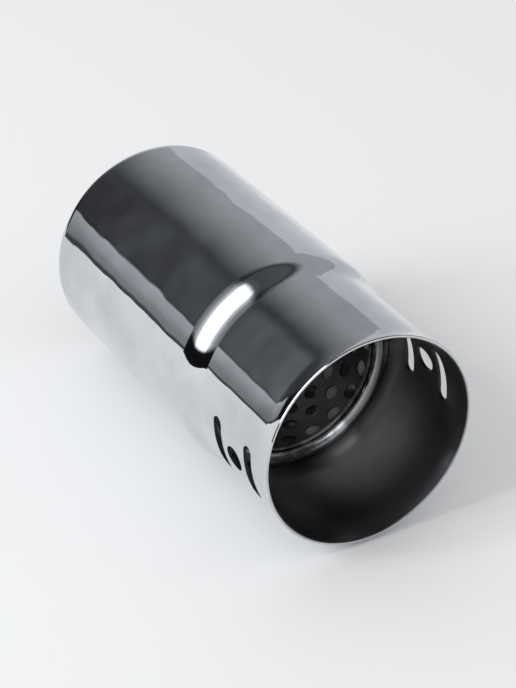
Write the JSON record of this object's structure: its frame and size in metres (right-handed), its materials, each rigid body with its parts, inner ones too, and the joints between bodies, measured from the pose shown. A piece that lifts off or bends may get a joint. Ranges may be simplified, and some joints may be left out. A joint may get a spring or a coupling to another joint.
{
  "type": "exhaust tip",
  "caption": "Chromed steel tip that slips over a car's tailpipe, with a stepped outer tube, vents cut through its front and a perforated liner inside.",
  "frame": {"origin": "centre of the rear rim, which the tip stands on; the bottom centre of the bounding box", "axes": "+Z along the tube axis from the inlet to the mouth, +X through the middle of one column of vents"},
  "size_m": [0.09, 0.09, 0.174],
  "materials": {
    "chromed_steel": "mirror polished chrome on sheet steel",
    "bare_steel": "dull stainless sheet",
    "glass_fibre": "loose glass fibre mat"
  },
  "bodies": {
    "root": {"outer_shell": "chromed_steel", "inlet_pipe": "bare_steel", "perforated_liner": "bare_steel", "fibre_packing": "glass_fibre"}
  },
  "joints": []
}
